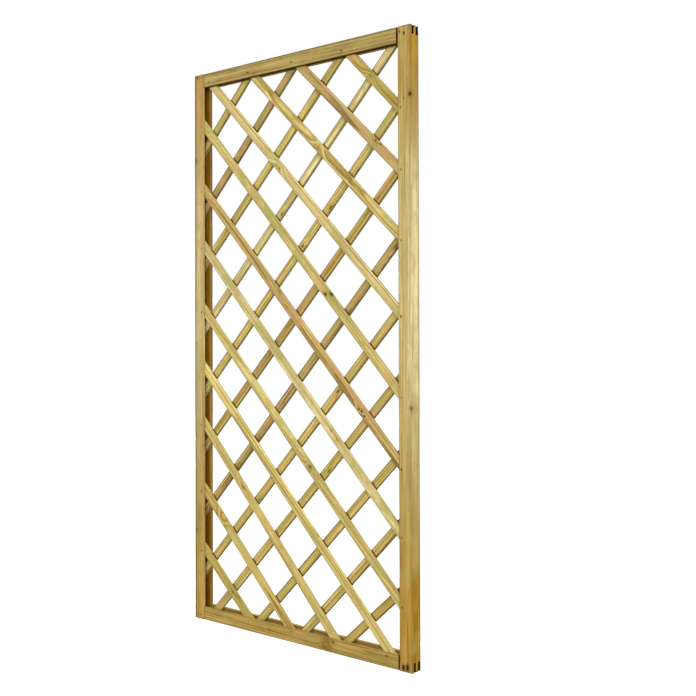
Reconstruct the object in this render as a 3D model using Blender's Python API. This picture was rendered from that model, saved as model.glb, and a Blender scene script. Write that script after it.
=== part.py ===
"""Wooden trellis panel: a grooved timber frame that holds a diagonal lattice in two layers.

Lengths are in metres and angles in degrees. +X runs across the panel, +Y from its front to its
back and +Z up. The origin lies under the middle of the panel, level with its lower edge.

Every timber is made as a bar along its own Z axis. Its own X axis runs across it and its own Y
axis runs from its front to its back, and it is then turned about Y into its place.
"""
import math

import bmesh
import bpy
from mathutils import Vector

# The panel
PANEL_WIDTH = 0.900
PANEL_HEIGHT = 1.800

# The frame timber
FRAME_FACE = 0.045
FRAME_DEPTH = 0.040
ARRIS_RADIUS = 0.0025
ARRIS_STEPS = 3

# The groove that runs along the inner edge of every frame timber, and how much shorter than its other
# lip the top rail's rear lip and the bottom rail's front lip are
FRONT_LIP = 0.005
GROOVE_DEPTH = 0.020
TOP_REAR_LIP_SHORTFALL = 0.0025
BOTTOM_FRONT_LIP_SHORTFALL = 0.0025

# The slats
SLAT_WIDTH = 0.027
SLAT_THICKNESS = 0.008
SLAT_CHAMFER = 0.0008
SLAT_END_CLEARANCE = 0.001
SEAT_CLEARANCE = 0.0003

# The two tenons at each end of a rail, counted from the front, and the open right-hand shoulders
TINE_FRONT = 0.008
TENON_THICKNESS = 0.008
TINE_MIDDLE = 0.0105
JOINT_CLEARANCE = 0.0003
TOP_SHOULDER_GAP = 0.004
BOTTOM_SHOULDER_GAP = 0.0025

# The lattice. Each layer is spaced evenly from one corner to the opposite one, measured up one edge
# and along the next, with the margin left free at both ends. Both layers were laid by hand, so each
# slat slips from its place by a share of the pitch and has a slope of its own.
LATTICE_MARGIN = 0.2775
FRONT_SLIP_SHARES = (
    0.007, -0.033, -0.008, 0.0, -0.043, -0.008, -0.026, 0.027, 0.041, 0.096, 0.085, 0.044
)
FRONT_SLOPES = (42.9, 45.2, 46.7, 45.5, 45.7, 46.2, 46.0, 46.5, 44.6, 43.1, 43.0, 45.4)
BACK_SLIP_SHARES = (
    -0.013, -0.086, -0.095, -0.038, -0.073, -0.065, -0.013, -0.066, -0.047, 0.0, -0.047, -0.021
)
BACK_SLOPES = (41.7, 45.1, 45.1, 45.6, 46.1, 46.3, 45.8, 45.6, 45.0, 44.6, 45.2, 45.6)

# The brads that hold the slats' ends: the share of the slat's thickness that they bite into, and how
# far into each timber they stand from its inner edge
PIN_BITE_SHARE = 0.8
PIN_RADIUS = 0.001
PIN_HEAD_RADIUS = 0.0016
PIN_HEAD_HEIGHT = 0.0006
PIN_SINK = 0.0006
PIN_SIDES = 6
PIN_INSET_LEFT = 0.013
PIN_INSET_RIGHT = 0.010
PIN_INSET_TOP = 0.016
PIN_INSET_BOTTOM = 0.013

# How far each brad stands from its slat's middle along the frame timber, upwards or to the right, as a
# share of the slat's width
UPPER_PIN_SLIP_SHARES = (
    -0.55, -0.55, -0.50, -0.55, -0.55, -0.55, -0.55, -0.35, 0.10, -0.22, -0.52, -0.55
)
LOWER_PIN_SLIP_SHARES = (
    -0.10, 0.26, -0.26, -0.54, 0.10, 0.10, -0.07, 0.0, 0.05, -0.18, 0.21, 0.26
)

# The nails through the corner joints
NAIL_LENGTH = 0.033
NAIL_RADIUS = 0.0014
NAIL_HEAD_RADIUS = 0.0025
NAIL_HEAD_HEIGHT = 0.001
NAIL_SINK = 0.001
NAIL_SIDES = 8
DRILL_CLEARANCE = 0.0003

# Each corner's two nails: shares of the timber's face in from the panel's side, and shares of the
# tenon's height in from its top or bottom edge
NAIL_PLACE_SHARES = {
    "top_left": ((0.31, 0.29), (0.59, 0.38)),
    "top_right": ((0.50, 0.88), (0.83, 0.62)),
    "bottom_left": ((0.30, 0.50), (0.62, 0.50)),
    "bottom_right": ((0.37, 0.54), (0.67, 0.45)),
}

# Cutters reach this far past the wood that they cut
OVERRUN = 0.002

# What follows from the sizes above
GROOVE_WIDTH = 2 * SLAT_THICKNESS + 3 * SEAT_CLEARANCE
TENON_HEIGHT = FRAME_FACE - GROOVE_DEPTH
SIDE = PANEL_WIDTH / 2
FRONT = -FRAME_DEPTH / 2
BACK = FRAME_DEPTH / 2
OPENING_LOW = Vector((-SIDE + FRAME_FACE, FRAME_FACE))
OPENING_HIGH = Vector((SIDE - FRAME_FACE, PANEL_HEIGHT - FRAME_FACE))
FRONT_LAYER = FRONT + FRONT_LIP + SEAT_CLEARANCE
PIN_LENGTH = FRONT_LIP + SEAT_CLEARANCE + PIN_BITE_SHARE * SLAT_THICKNESS
BACK_LAYER = FRONT_LAYER + SLAT_THICKNESS + SEAT_CLEARANCE

# Colours of the timber and the nails, as red, green and blue on a screen
STRAW = (0.80, 0.71, 0.49)
HONEY = (0.75, 0.62, 0.40)
ROSE = (0.77, 0.62, 0.45)
MOSS = (0.70, 0.65, 0.42)
IRON = (0.20, 0.17, 0.14)
SLAT_TINTS = (STRAW, HONEY, ROSE, STRAW, MOSS)
TIMBER_ROUGHNESS = 0.75
IRON_ROUGHNESS = 0.6


def clear_scene():
    """Remove what the scene holds."""
    for thing in list(bpy.data.objects):
        bpy.data.objects.remove(thing, do_unlink=True)


def linear(screen_colour):
    """Turn a screen colour into the linear colour that a shader takes."""
    colour = []
    for share in screen_colour:
        bright = ((share + 0.055) / 1.055) ** 2.4
        colour.append(bright if share > 0.04045 else share / 12.92)
    return colour


def finish(name, screen_colour, roughness, metallic):
    """A plain material of one colour."""
    material = bpy.data.materials.new(name)
    material.use_nodes = True
    shader = material.node_tree.nodes["Principled BSDF"]
    shader.inputs["Base Color"].default_value = (*linear(screen_colour), 1)
    shader.inputs["Roughness"].default_value = roughness
    shader.inputs["Metallic"].default_value = metallic
    return material


def timber_finish(name, screen_colour):
    return finish(name + "_timber", screen_colour, TIMBER_ROUGHNESS, 0)


def iron_finish(name):
    return finish(name + "_iron", IRON, IRON_ROUGHNESS, 1)


def new_mesh(name, bm):
    """Turn the faces outwards and keep them as a mesh."""
    bmesh.ops.recalc_face_normals(bm, faces=bm.faces)
    mesh = bpy.data.meshes.new(name)
    bm.to_mesh(mesh)
    bm.free()
    return mesh


def add_object(name, mesh, location=(0, 0, 0), turn=0.0):
    """Put a mesh into the scene, turned about Y by so many degrees and then moved to its place."""
    thing = bpy.data.objects.new(name, mesh)
    thing.location = location
    thing.rotation_euler = (0, math.radians(turn), 0)
    bpy.context.scene.collection.objects.link(thing)
    return thing


def add_cutter(name, bm, location=(0, 0, 0), turn=0.0):
    """Put a tool into the scene, which isn't a piece of the panel."""
    cutter = add_object(name, new_mesh(name, bm), location, turn)
    cutter.display_type = "WIRE"
    cutter.hide_render = True
    return cutter


def cut(thing, cutter, operation="DIFFERENCE"):
    """Let a cutter work on a piece."""
    modifier = thing.modifiers.new(cutter.name, "BOOLEAN")
    modifier.operation = operation
    modifier.solver = "EXACT"
    modifier.object = cutter


def add_prism(bm, outline, start, end):
    """Add a closed bar whose outline lies across Z and which runs from start to end along Z."""
    rim = [bm.verts.new((across, depth, start)) for across, depth in outline]
    cap = bm.faces.new(rim)
    run = bmesh.ops.extrude_face_region(bm, geom=[cap])
    moved = [item for item in run["geom"] if isinstance(item, bmesh.types.BMVert)]
    bmesh.ops.translate(bm, verts=moved, vec=(0, 0, end - start))


def add_box(bm, low, high):
    """Add a closed box between two corners."""
    outline = ((low[0], low[1]), (high[0], low[1]), (high[0], high[1]), (low[0], high[1]))
    add_prism(bm, outline, low[2], high[2])


def add_turned(bm, profile, sides, place):
    """Add a turned solid on an axis along Y: profile holds its radius at each depth behind place."""
    rings = []
    for radius, depth in profile:
        ring = []
        for side in range(sides):
            angle = 2 * math.pi * side / sides
            spoke = Vector((math.cos(angle), 0, math.sin(angle))) * radius
            ring.append(bm.verts.new(place + spoke + Vector((0, depth, 0))))
        rings.append(ring)
    for near, far in zip(rings, rings[1:]):
        for side in range(sides):
            after = (side + 1) % sides
            bm.faces.new((near[side], near[after], far[after], far[side]))
    bm.faces.new(rings[0])
    bm.faces.new(rings[-1])


def rounded_corner(corner, inward):
    """Points of one rounded arris, from the side that lies along X to the one that lies along Y."""
    centre = Vector((corner[0] + inward[0] * ARRIS_RADIUS, corner[1] + inward[1] * ARRIS_RADIUS))
    points = []
    for step in range(ARRIS_STEPS + 1):
        angle = math.pi / 2 * step / ARRIS_STEPS
        reach = Vector((math.sin(angle) * inward[0], math.cos(angle) * inward[1]))
        points.append(centre - reach * ARRIS_RADIUS)
    return points


def frame_outline(front_lip_shortfall, rear_lip_shortfall):
    """Section of a frame timber: outer edge at zero across, front at zero deep, groove at the inner edge."""
    front_face = FRAME_FACE - front_lip_shortfall
    rear_face = FRAME_FACE - rear_lip_shortfall
    groove_back = FRONT_LIP + GROOVE_WIDTH
    groove_floor = FRAME_FACE - GROOVE_DEPTH
    outline = list(reversed(rounded_corner((0, 0), (1, 1))))
    outline += rounded_corner((front_face, 0), (-1, 1))
    outline += [Vector((front_face, FRONT_LIP)), Vector((groove_floor, FRONT_LIP))]
    outline += [Vector((groove_floor, groove_back)), Vector((rear_face, groove_back))]
    outline += list(reversed(rounded_corner((rear_face, FRAME_DEPTH), (-1, -1))))
    outline += rounded_corner((0, FRAME_DEPTH), (1, -1))
    return outline


def slat_outline():
    """Section of a slat: its width lies across, evenly to both sides, and its front is at zero deep."""
    half = SLAT_WIDTH / 2
    return (
        (-half + SLAT_CHAMFER, 0),
        (half - SLAT_CHAMFER, 0),
        (half, SLAT_CHAMFER),
        (half, SLAT_THICKNESS - SLAT_CHAMFER),
        (half - SLAT_CHAMFER, SLAT_THICKNESS),
        (-half + SLAT_CHAMFER, SLAT_THICKNESS),
        (-half, SLAT_THICKNESS - SLAT_CHAMFER),
        (-half, SLAT_CHAMFER),
    )


def tenon_spans():
    """Front and back of each tenon, from the front of the timber."""
    second = TINE_FRONT + TENON_THICKNESS + TINE_MIDDLE
    return ((TINE_FRONT, TINE_FRONT + TENON_THICKNESS), (second, second + TENON_THICKNESS))


def rail_waste_outline():
    """What is sawn from a rail's end, which leaves its two tenons standing at the outer edge."""
    (first_front, first_back), (second_front, second_back) = tenon_spans()
    outer = -OVERRUN
    inner = FRAME_FACE + OVERRUN
    far = FRAME_DEPTH + OVERRUN
    return (
        (inner, -OVERRUN),
        (inner, far),
        (outer, far),
        (outer, second_back),
        (TENON_HEIGHT, second_back),
        (TENON_HEIGHT, second_front),
        (outer, second_front),
        (outer, first_back),
        (TENON_HEIGHT, first_back),
        (TENON_HEIGHT, first_front),
        (outer, first_front),
        (outer, -OVERRUN),
    )


def frame_bar(name, start, length, turn, front_lip_shortfall=0.0, rear_lip_shortfall=0.0):
    """A frame timber from start, a point on its outer edge in X and Z."""
    bm = bmesh.new()
    add_prism(bm, frame_outline(front_lip_shortfall, rear_lip_shortfall), 0, length)
    bar = add_object(name, new_mesh(name, bm), (start[0], FRONT, start[1]), turn)
    bar.data.materials.append(timber_finish(name, HONEY))
    return bar


def stile_slots(name, left, right):
    """Cutter for the open slots at both ends of the stile that stands between left and right."""
    bm = bmesh.new()
    deep = TENON_HEIGHT + JOINT_CLEARANCE
    for front, back in tenon_spans():
        near = FRONT + front - JOINT_CLEARANCE
        far = FRONT + back + JOINT_CLEARANCE
        for bottom, top in ((-OVERRUN, deep), (PANEL_HEIGHT - deep, PANEL_HEIGHT + OVERRUN)):
            add_box(bm, (left - OVERRUN, near, bottom), (right + OVERRUN, far, top))
    return add_cutter(name, bm)


def make_stiles():
    """Two posts as high as the panel, each slotted at both ends."""
    left = frame_bar("left_stile", (-SIDE, 0), PANEL_HEIGHT, 0)
    right = frame_bar("right_stile", (SIDE, PANEL_HEIGHT), PANEL_HEIGHT, 180)
    cut(left, stile_slots("left_stile_slots", -SIDE, OPENING_LOW[0]))
    cut(right, stile_slots("right_stile_slots", OPENING_HIGH[0], SIDE))
    return left, right


def rail_waste(name, start, turn, length, first_shoulder, last_shoulder):
    """Cutter for what is sawn from both ends of a rail."""
    bm = bmesh.new()
    add_prism(bm, rail_waste_outline(), -OVERRUN, first_shoulder)
    add_prism(bm, rail_waste_outline(), last_shoulder, length + OVERRUN)
    return add_cutter(name, bm, (start[0], FRONT, start[1]), turn)


def make_rails():
    """Top and bottom rails: the left shoulders close tight, and the right ones stand open."""
    left_end = -SIDE
    left_shoulder = FRAME_FACE + JOINT_CLEARANCE

    top_length = PANEL_WIDTH - TOP_SHOULDER_GAP
    top_start = (left_end, PANEL_HEIGHT)
    top = frame_bar("top_rail", top_start, top_length, 90, rear_lip_shortfall=TOP_REAR_LIP_SHORTFALL)
    top_waste = rail_waste(
        "top_rail_waste", top_start, 90, top_length, left_shoulder, top_length - FRAME_FACE
    )
    cut(top, top_waste)

    bottom_length = PANEL_WIDTH - BOTTOM_SHOULDER_GAP
    bottom_start = (left_end + bottom_length, 0)
    bottom = frame_bar("bottom_rail", bottom_start, bottom_length, -90, BOTTOM_FRONT_LIP_SHORTFALL)
    bottom_waste = rail_waste(
        "bottom_rail_waste", bottom_start, -90, bottom_length, FRAME_FACE, bottom_length - left_shoulder
    )
    cut(bottom, bottom_waste)
    return top, bottom


def line_ends(place, along, low, high):
    """The two points where a line through place leaves a box in X and Z."""
    ends = []
    for way in (-along, along):
        corner = [high[axis] if way[axis] > 0 else low[axis] for axis in (0, 1)]
        reach = min((corner[axis] - place[axis]) / way[axis] for axis in (0, 1))
        ends.append(place + way * reach)
    return ends


def slat_line(number, hand, slip_shares, slopes):
    """Middle point and direction of a slat. Hand is 1 from the left lower corner, -1 from the right."""
    pitch = (PANEL_WIDTH + PANEL_HEIGHT - 2 * LATTICE_MARGIN) / (len(slopes) - 1)
    reach = LATTICE_MARGIN + pitch * (number + slip_shares[number])
    foot = Vector((hand * (reach - SIDE), 0))
    even = Vector((hand, -1)).normalized()
    ends = line_ends(foot - even * reach, even, OPENING_LOW, OPENING_HIGH)
    middle = (ends[0] + ends[1]) / 2
    slope = math.radians(slopes[number])
    return middle, Vector((hand * math.cos(slope), -math.sin(slope)))


def layer_lines(hand, slip_shares, slopes):
    return [slat_line(number, hand, slip_shares, slopes) for number in range(len(slopes))]


def lattice_space():
    """The space between the floors of the grooves, less the slats' end clearance, that trims the slats."""
    bm = bmesh.new()
    reach = GROOVE_DEPTH - SLAT_END_CLEARANCE
    low = (OPENING_LOW[0] - reach, FRONT - OVERRUN, OPENING_LOW[1] - reach)
    high = (OPENING_HIGH[0] + reach, BACK + OVERRUN, OPENING_HIGH[1] + reach)
    add_box(bm, low, high)
    return add_cutter("lattice_space", bm)


def make_slats(prefix, lines, layer, space):
    """One layer of slats, each laid along its line and trimmed to the grooves."""
    slats = []
    for number, (middle, along) in enumerate(lines):
        near, far = line_ends(middle, along, OPENING_LOW, OPENING_HIGH)
        spare = 2 * GROOVE_DEPTH + SLAT_WIDTH
        name = f"{prefix}_slat_{number + 1:02d}"
        bm = bmesh.new()
        add_prism(bm, slat_outline(), -(middle - near).length - spare, (far - middle).length + spare)
        turn = math.degrees(math.atan2(along[0], along[1]))
        slat = add_object(name, new_mesh(name, bm), (middle[0], layer, middle[1]), turn)
        slat.data.materials.append(timber_finish(name, SLAT_TINTS[number % len(SLAT_TINTS)]))
        cut(slat, space, "INTERSECT")
        slats.append(slat)
    return slats


def pin_places(lines):
    """Name and place of each brad: one for the upper and one for the lower end of each front slat."""
    low = Vector((OPENING_LOW[0] - PIN_INSET_LEFT, OPENING_LOW[1] - PIN_INSET_BOTTOM))
    high = Vector((OPENING_HIGH[0] + PIN_INSET_RIGHT, OPENING_HIGH[1] + PIN_INSET_TOP))
    places = {}
    for number, (middle, along) in enumerate(lines):
        upper, lower = line_ends(middle, along, low, high)
        for level, place, slip_shares in (
            ("upper", upper, UPPER_PIN_SLIP_SHARES),
            ("lower", lower, LOWER_PIN_SLIP_SHARES),
        ):
            in_rail = OPENING_LOW[0] < place[0] < OPENING_HIGH[0]
            place[0 if in_rail else 1] += slip_shares[number] * SLAT_WIDTH
            places[f"pin_{level}_{number + 1:02d}"] = place
    return places


def nail_places():
    """Name and place of each corner nail."""
    places = {}
    for corner, shares in NAIL_PLACE_SHARES.items():
        level, side = corner.split("_")
        sense = -1 if side == "left" else 1
        for number, (across_share, height_share) in enumerate(shares):
            across = sense * (SIDE - across_share * FRAME_FACE)
            rise = height_share * TENON_HEIGHT
            height = PANEL_HEIGHT - rise if level == "top" else rise
            places[f"nail_{corner}_{number + 1}"] = Vector((across, height))
    return places


def nail_profile(radius, head_radius, head_height, sink, length):
    """Radius and depth along a nail whose head lies a little under the wood's face."""
    neck = sink + head_height
    return ((head_radius, sink), (head_radius, neck), (radius, neck), (radius, length))


def hole_profile(profile):
    """The hole that a nail leaves: its own shape, grown by the clearance and open at the face."""
    (head_radius, _), (_, neck), (radius, _), (_, length) = profile
    seat = neck + DRILL_CLEARANCE
    wide = head_radius + DRILL_CLEARANCE
    narrow = radius + DRILL_CLEARANCE
    return ((wide, -OVERRUN), (wide, seat), (narrow, seat), (narrow, length + DRILL_CLEARANCE))


def make_fasteners(kind, profile, sides, places):
    """Like fasteners driven in from the front, each an object of its own, and one cutter for their holes."""
    bm = bmesh.new()
    add_turned(bm, profile, sides, Vector())
    mesh = new_mesh(kind, bm)
    mesh.materials.append(iron_finish(kind))
    holes = bmesh.new()
    for name, place in places.items():
        spot = Vector((place[0], FRONT, place[1]))
        add_object(name, mesh, spot)
        add_turned(holes, hole_profile(profile), sides, spot)
    return add_cutter(kind + "_holes", holes)


def build_panel():
    clear_scene()
    left_stile, right_stile = make_stiles()
    top_rail, bottom_rail = make_rails()
    frame = [left_stile, right_stile, top_rail, bottom_rail]

    front_lines = layer_lines(1, FRONT_SLIP_SHARES, FRONT_SLOPES)
    back_lines = layer_lines(-1, BACK_SLIP_SHARES, BACK_SLOPES)
    space = lattice_space()
    slats = make_slats("front", front_lines, FRONT_LAYER, space)
    slats += make_slats("back", back_lines, BACK_LAYER, space)

    pin = nail_profile(PIN_RADIUS, PIN_HEAD_RADIUS, PIN_HEAD_HEIGHT, PIN_SINK, PIN_LENGTH)
    nail = nail_profile(NAIL_RADIUS, NAIL_HEAD_RADIUS, NAIL_HEAD_HEIGHT, NAIL_SINK, NAIL_LENGTH)
    pin_holes = make_fasteners("pin", pin, PIN_SIDES, pin_places(front_lines))
    nail_holes = make_fasteners("nail", nail, NAIL_SIDES, nail_places())
    for timber in frame + slats:
        cut(timber, pin_holes)
    for timber in frame:
        cut(timber, nail_holes)


build_panel()
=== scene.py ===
"""Looks of the wooden trellis panel: finer timbers, their grain and knots, the light, floor and camera.

Lengths are in metres and angles in degrees. The panel's own axes run to the right (X), to the back
(Y) and up (Z). Each timber also has axes of its own: x across it, y from its front to its back and z
along it, as if it stood upright before it was turned about Y into its place.
"""
import math

import bpy
import numpy as np
from mathutils import Matrix, Vector


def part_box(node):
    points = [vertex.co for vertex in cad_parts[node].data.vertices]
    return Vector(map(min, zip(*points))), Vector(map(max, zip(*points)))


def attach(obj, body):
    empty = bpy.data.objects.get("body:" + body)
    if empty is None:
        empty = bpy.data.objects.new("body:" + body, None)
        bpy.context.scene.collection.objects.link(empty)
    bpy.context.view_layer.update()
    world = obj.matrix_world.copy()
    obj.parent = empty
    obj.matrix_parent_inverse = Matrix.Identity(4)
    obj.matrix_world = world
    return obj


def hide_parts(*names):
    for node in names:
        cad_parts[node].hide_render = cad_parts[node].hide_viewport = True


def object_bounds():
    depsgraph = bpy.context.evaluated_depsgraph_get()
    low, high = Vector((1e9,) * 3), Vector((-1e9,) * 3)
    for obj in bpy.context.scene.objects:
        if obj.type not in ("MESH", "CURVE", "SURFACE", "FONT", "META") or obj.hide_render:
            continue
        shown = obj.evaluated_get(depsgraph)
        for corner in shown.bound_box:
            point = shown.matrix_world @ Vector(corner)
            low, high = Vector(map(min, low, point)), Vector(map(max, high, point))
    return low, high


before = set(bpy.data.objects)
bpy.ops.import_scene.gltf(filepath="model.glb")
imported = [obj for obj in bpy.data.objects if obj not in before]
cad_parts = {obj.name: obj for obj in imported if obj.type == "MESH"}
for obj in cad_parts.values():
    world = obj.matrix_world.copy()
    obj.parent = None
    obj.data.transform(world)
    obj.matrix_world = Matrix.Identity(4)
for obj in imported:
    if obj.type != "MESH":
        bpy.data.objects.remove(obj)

cad_low, cad_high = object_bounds()

# Frame timber, as the solids have it
FRAME_FACE = 0.045
GROOVE_DEPTH = 0.020
FRONT_LIP = 0.005
GROOVE_BACK = 0.0219
TENON_SPANS = ((0.008, 0.016), (0.0265, 0.0345))
JOINT_CLEARANCE = 0.0003
OVERRUN = 0.002
TOP_REAR_LIP_SHORTFALL = 0.0025
BOTTOM_FRONT_LIP_SHORTFALL = 0.0025

# Radii of the rounded and of the merely broken edges
FRAME_ARRIS = 0.0025
SLAT_ARRIS = 0.0011
BROKEN_EDGE = 0.0006

# Heads of the brads and nails: radius and height, the shank's radius, the radius and depth of the
# crater that the head lies in, and how far the stain round it reaches across and along the grain
HEADS = {
    "pin": (0.0016, 0.0006, 0.0010, (0.0020, 0.0009), (0.0030, 0.0037)),
    "nail": (0.0025, 0.0010, 0.0014, (0.0029, 0.0014), (0.0037, 0.0066)),
}
CRATER_WALL = 0.0005

# A head's dome as shares of a quarter turn and of its height, and the point as shares of the shank's
# radius and as a number of such radii
HEAD_SIDES = 20
DOME_SHARES = np.linspace(0.1, 1, 6)
DOME_HEIGHT_SHARE = 0.5
POINT_SHARES = np.linspace(1, 0.1, 4)
POINT_RADII = 3

# How dark the stain round each brad is, from the first slat's to the last one's, and how dark and how
# large it is round each nail; a head with little stain has more rust
PIN_STAINS = {
    "upper": (0.6, 0.9, 0.35, 0.4, 0.8, 0.3, 0.3, 0.2, 0.6, 1.0, 1.0, 0.85),
    "lower": (0.4, 0.4, 0.8, 1.0, 0.75, 0.35, 0.85, 0.1, 1.0, 0.4, 0.45, 0.65),
}
NAIL_STAINS = {
    "top_left": ((0.9, 0.9), (0.35, 0.8)),
    "top_right": ((1.0, 0.95), (0.5, 0.6)),
    "bottom_left": ((0.1, 0.5), (0.1, 0.5)),
    "bottom_right": ((1.0, 1.8), (1.0, 1.7)),
}
RUSTY_BELOW = 0.5

# How dark painted shade lies where a rail's shoulders meet a stile's side, and how far it reaches from
# there
JOINT_PAINTED_SHADE = 1.0
JOINT_PAINTED_SHADE_REACH = 0.0015

# Spacing of the points that a timber's surface is worked out on
FRAME_STATION = 0.005
FRAME_FINE = 0.0007
FRAME_COARSE = 0.003
SLAT_STATION = 0.004
SLAT_SPACING = 0.0018
ARC_STEPS = 5
CRATER_STATIONS = np.linspace(-0.0036, 0.0036, 15)
END_STATIONS = np.linspace(0, 0.004, 5)
SHOULDER_STATIONS = FRAME_FACE + np.linspace(0, 0.003, 7)

# Unevenness that planing leaves, with up to so many waves round a timber, and dents in the arrises
WAVE_DEPTH = 0.00012
FRAME_WAVES = (0.9, 0.31, 0.12, 0.05)
SLAT_WAVES = (0.6, 0.23, 0.09, 0.04)
WAVES_ROUND = 3
DENT_DEPTH = 0.0009
DENT_LENGTH = 0.006
DENT_DEPTH_SHARES = (0.1, 1)
DENT_LENGTH_SHARES = (0.3, 1.5)
DENT_PITCH = 0.12
SLAT_DENT_SHARE = 0.4

# Edges that turn by more than this stay sharp
SHARP_ANGLE = 32

# How little a slat's long side faces front or back, and how much it faces both sideways and up or down
LEVEL_BELOW = 0.1
SLOPING_ABOVE = 0.3

# How dark dirt and painted shade lie on each arris of a frame timber: the outer and the inner one in
# front, the one behind the groove, and the inner and the outer one at the back; and how far they reach
# on the outer
FRAME_DIRT_AND_SHADE = {
    "left_stile": ((1.0, 0.0, 0.6, 0.5, 0.8), 0.0085),
    "right_stile": ((0.25, 0.5, 0.6, 0.5, 1.0), 0.0045),
    "top_rail": ((1.0, 0.35, 0.8, 0.6, 0.8), 0.0045),
    "bottom_rail": ((0.7, 0.35, 0.8, 0.6, 0.8), 0.0030),
}
INNER_DIRT_AND_SHADE_REACH = 0.0030
END_DIRT_AND_SHADE = 0.9
END_DIRT_AND_SHADE_REACH = 0.0025

# The painted shade of a timber's inner side: on the front lip's edge, in the groove, and at the back, and
# over how much of the rear lip it changes from the groove's to the back's
INNER_PAINTED_SHADES = {
    "left_stile": (0.0, 1.0, 0.75),
    "right_stile": (0.0, 1.0, 0.75),
    "top_rail": (0.7, 1.0, 0.5),
    "bottom_rail": (0.0, 0.6, 0.0),
}
REAR_LIP_FADE = 0.008

# Dirt and painted shade on a slat: on the upper and the lower arris in front, and the lower and the
# upper one behind
SLAT_DIRT_AND_SHADE = {"front": (0.0, 0.5, 0.6, 0.2), "back": (1.0, 0.8, 1.0, 0.7)}
SLAT_DIRT_AND_SHADE_REACH = 0.0026

# How far painted shadow reaches from the edge of what crosses a slat, how much less it reaches from its
# lower edge, and how strong it is
CREASE_REACH = 0.0048
CREASE_EASE = 0.0034
CREASE_STRENGTH = 0.95

# Grain: how far its rings waver and how many times in a metre along the timber, where a timber's own
# grain is wild instead, and how many times the waver changes across it
RING_WAVER = (0.005, 1.3)
WILD_WAVER = {"front_slat_10": (0.024, 4.0), "front_slat_07": (0.010, 4.0), "back_slat_06": (0.010, 3.0)}
WAVER_PACE_ACROSS = 16.0

# Growth rings: the spans that each timber's own values are drawn from, how much the rings' widths
# vary and how many times in a metre, and the shares of a ring over which its late wood comes and goes
RING_WIDTHS = (0.0052, 0.0082)
PITH_REACH = (0.016, 0.045)
PITH_DRIFT = 0.016
RING_VARIETY = 2.4
RING_VARIETY_PACE = 90.0
LATE_WOOD_START = (0.25, 0.85)
LATE_WOOD_END = (1.0, 0.90)

# Noises in the wood: how often each varies in a metre across, inwards and along, and its detail; each
# timber's seed shifts them by so many steps
WOOD_NOISES = {
    "fibre": ((900, 900, 16), 3.0),
    "streak": ((190, 190, 4.5), 3.0),
    "broad": ((55, 55, 5.0), 3.0),
    "patch": ((24, 24, 13.0), 3.0),
    "flush": ((28, 28, 17.0), 3.0),
    "speck": ((420, 420, 150), 2.0),
    "dash": ((330, 330, 26), 2.0),
}
SEED_STEP = (1.7, 3.1, 5.3)

# The noise that each kind of mark comes from, and the values over which it sets in
MARKS = {
    "moss": ("patch", (0.48, 0.60)),
    "blush": ("flush", (0.50, 0.62)),
    "speck": ("speck", (0.68, 0.78)),
    "dash": ("dash", (0.58, 0.70)),
    "drip": ("streak", (0.52, 0.66)),
}
SPECK_STRENGTH = 0.40
DRIP_STRENGTH = 0.6
# How strong the stain layer is: the heads' stains, and the painted shade in the gaps and slots
STAIN_AND_SHADE_STRENGTH = 0.95

# How dark and how light the wood gets with its rings and noises, by how much more its blue part does,
# and how uneven the dirt and painted shade on the arrises and the painted shadow in the creases are
TONE_SPANS = {"ring": (0.88, 1.10), "streak": (0.50, 1.50), "fibre": (0.70, 1.30), "broad": (0.55, 1.45)}
BLUE_TONE_POWER = 1.35
DIRT_AND_SHADE_SPAN = (0.45, 1.35)
CREASE_SPAN = (0.6, 1.4)

# The wood's surface: how rough it is, what end grain adds and a knot takes off, how high late wood,
# fibres and knots stand, the bumps that this makes, how glossy it is, and how far a face looks along
# the grain when it counts as end grain
ROUGHNESS_SPAN = (0.52, 0.74)
END_ROUGHNESS = 0.15
CORE_POLISH = 0.18
RIDGE_HEIGHT = 0.45
FIBRE_HEIGHT = 0.55
CORE_HEIGHT = 0.5
WOOD_BUMP = {"Strength": 0.55, "Distance": 0.0004}
WOOD_GLOSS = 0.05
END_GRAIN_EDGE = (0.75, 0.9)

# Wood colours on a screen, as the early and the late wood of a ring
TONES = {
    "pale": ((0.88, 0.82, 0.57), (0.67, 0.55, 0.30)),
    "straw": ((0.85, 0.78, 0.49), (0.64, 0.51, 0.25)),
    "honey": ((0.83, 0.74, 0.43), (0.61, 0.47, 0.20)),
    "amber": ((0.79, 0.69, 0.38), (0.56, 0.43, 0.16)),
    "rose": ((0.80, 0.70, 0.44), (0.59, 0.44, 0.22)),
    "wheat": ((0.81, 0.71, 0.44), (0.61, 0.48, 0.23)),
    "olive": ((0.74, 0.64, 0.39), (0.52, 0.40, 0.20)),
    "copper": ((0.74, 0.62, 0.33), (0.50, 0.36, 0.13)),
}

# Each timber's wood: its tone, how light it is, how strongly its rings stand out, and its green and
# pink patches
FRAME_WOOD = {
    "left_stile": ("wheat", 0.93, 0.75, 0.35, 0.45),
    "right_stile": ("wheat", 0.96, 0.60, 0.30, 0.25),
    "top_rail": ("olive", 0.98, 0.60, 0.35, 0.25),
    "bottom_rail": ("copper", 0.995, 0.60, 0.25, 0.20),
}
FRONT_WOOD = (
    ("amber", 0.97, 0.75, 0.60, 0.20),
    ("honey", 0.99, 0.95, 0.45, 0.30),
    ("straw", 1.02, 0.70, 0.30, 0.50),
    ("straw", 1.03, 0.85, 0.45, 0.20),
    ("straw", 0.99, 0.65, 0.55, 0.35),
    ("pale", 0.99, 0.65, 0.60, 0.30),
    ("rose", 1.01, 0.90, 0.30, 0.65),
    ("straw", 0.99, 0.65, 0.70, 0.30),
    ("pale", 1.01, 0.90, 0.50, 0.25),
    ("straw", 1.00, 1.00, 0.50, 0.35),
    ("rose", 0.90, 0.80, 0.20, 0.60),
    ("amber", 1.00, 0.80, 0.45, 0.40),
)
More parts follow.
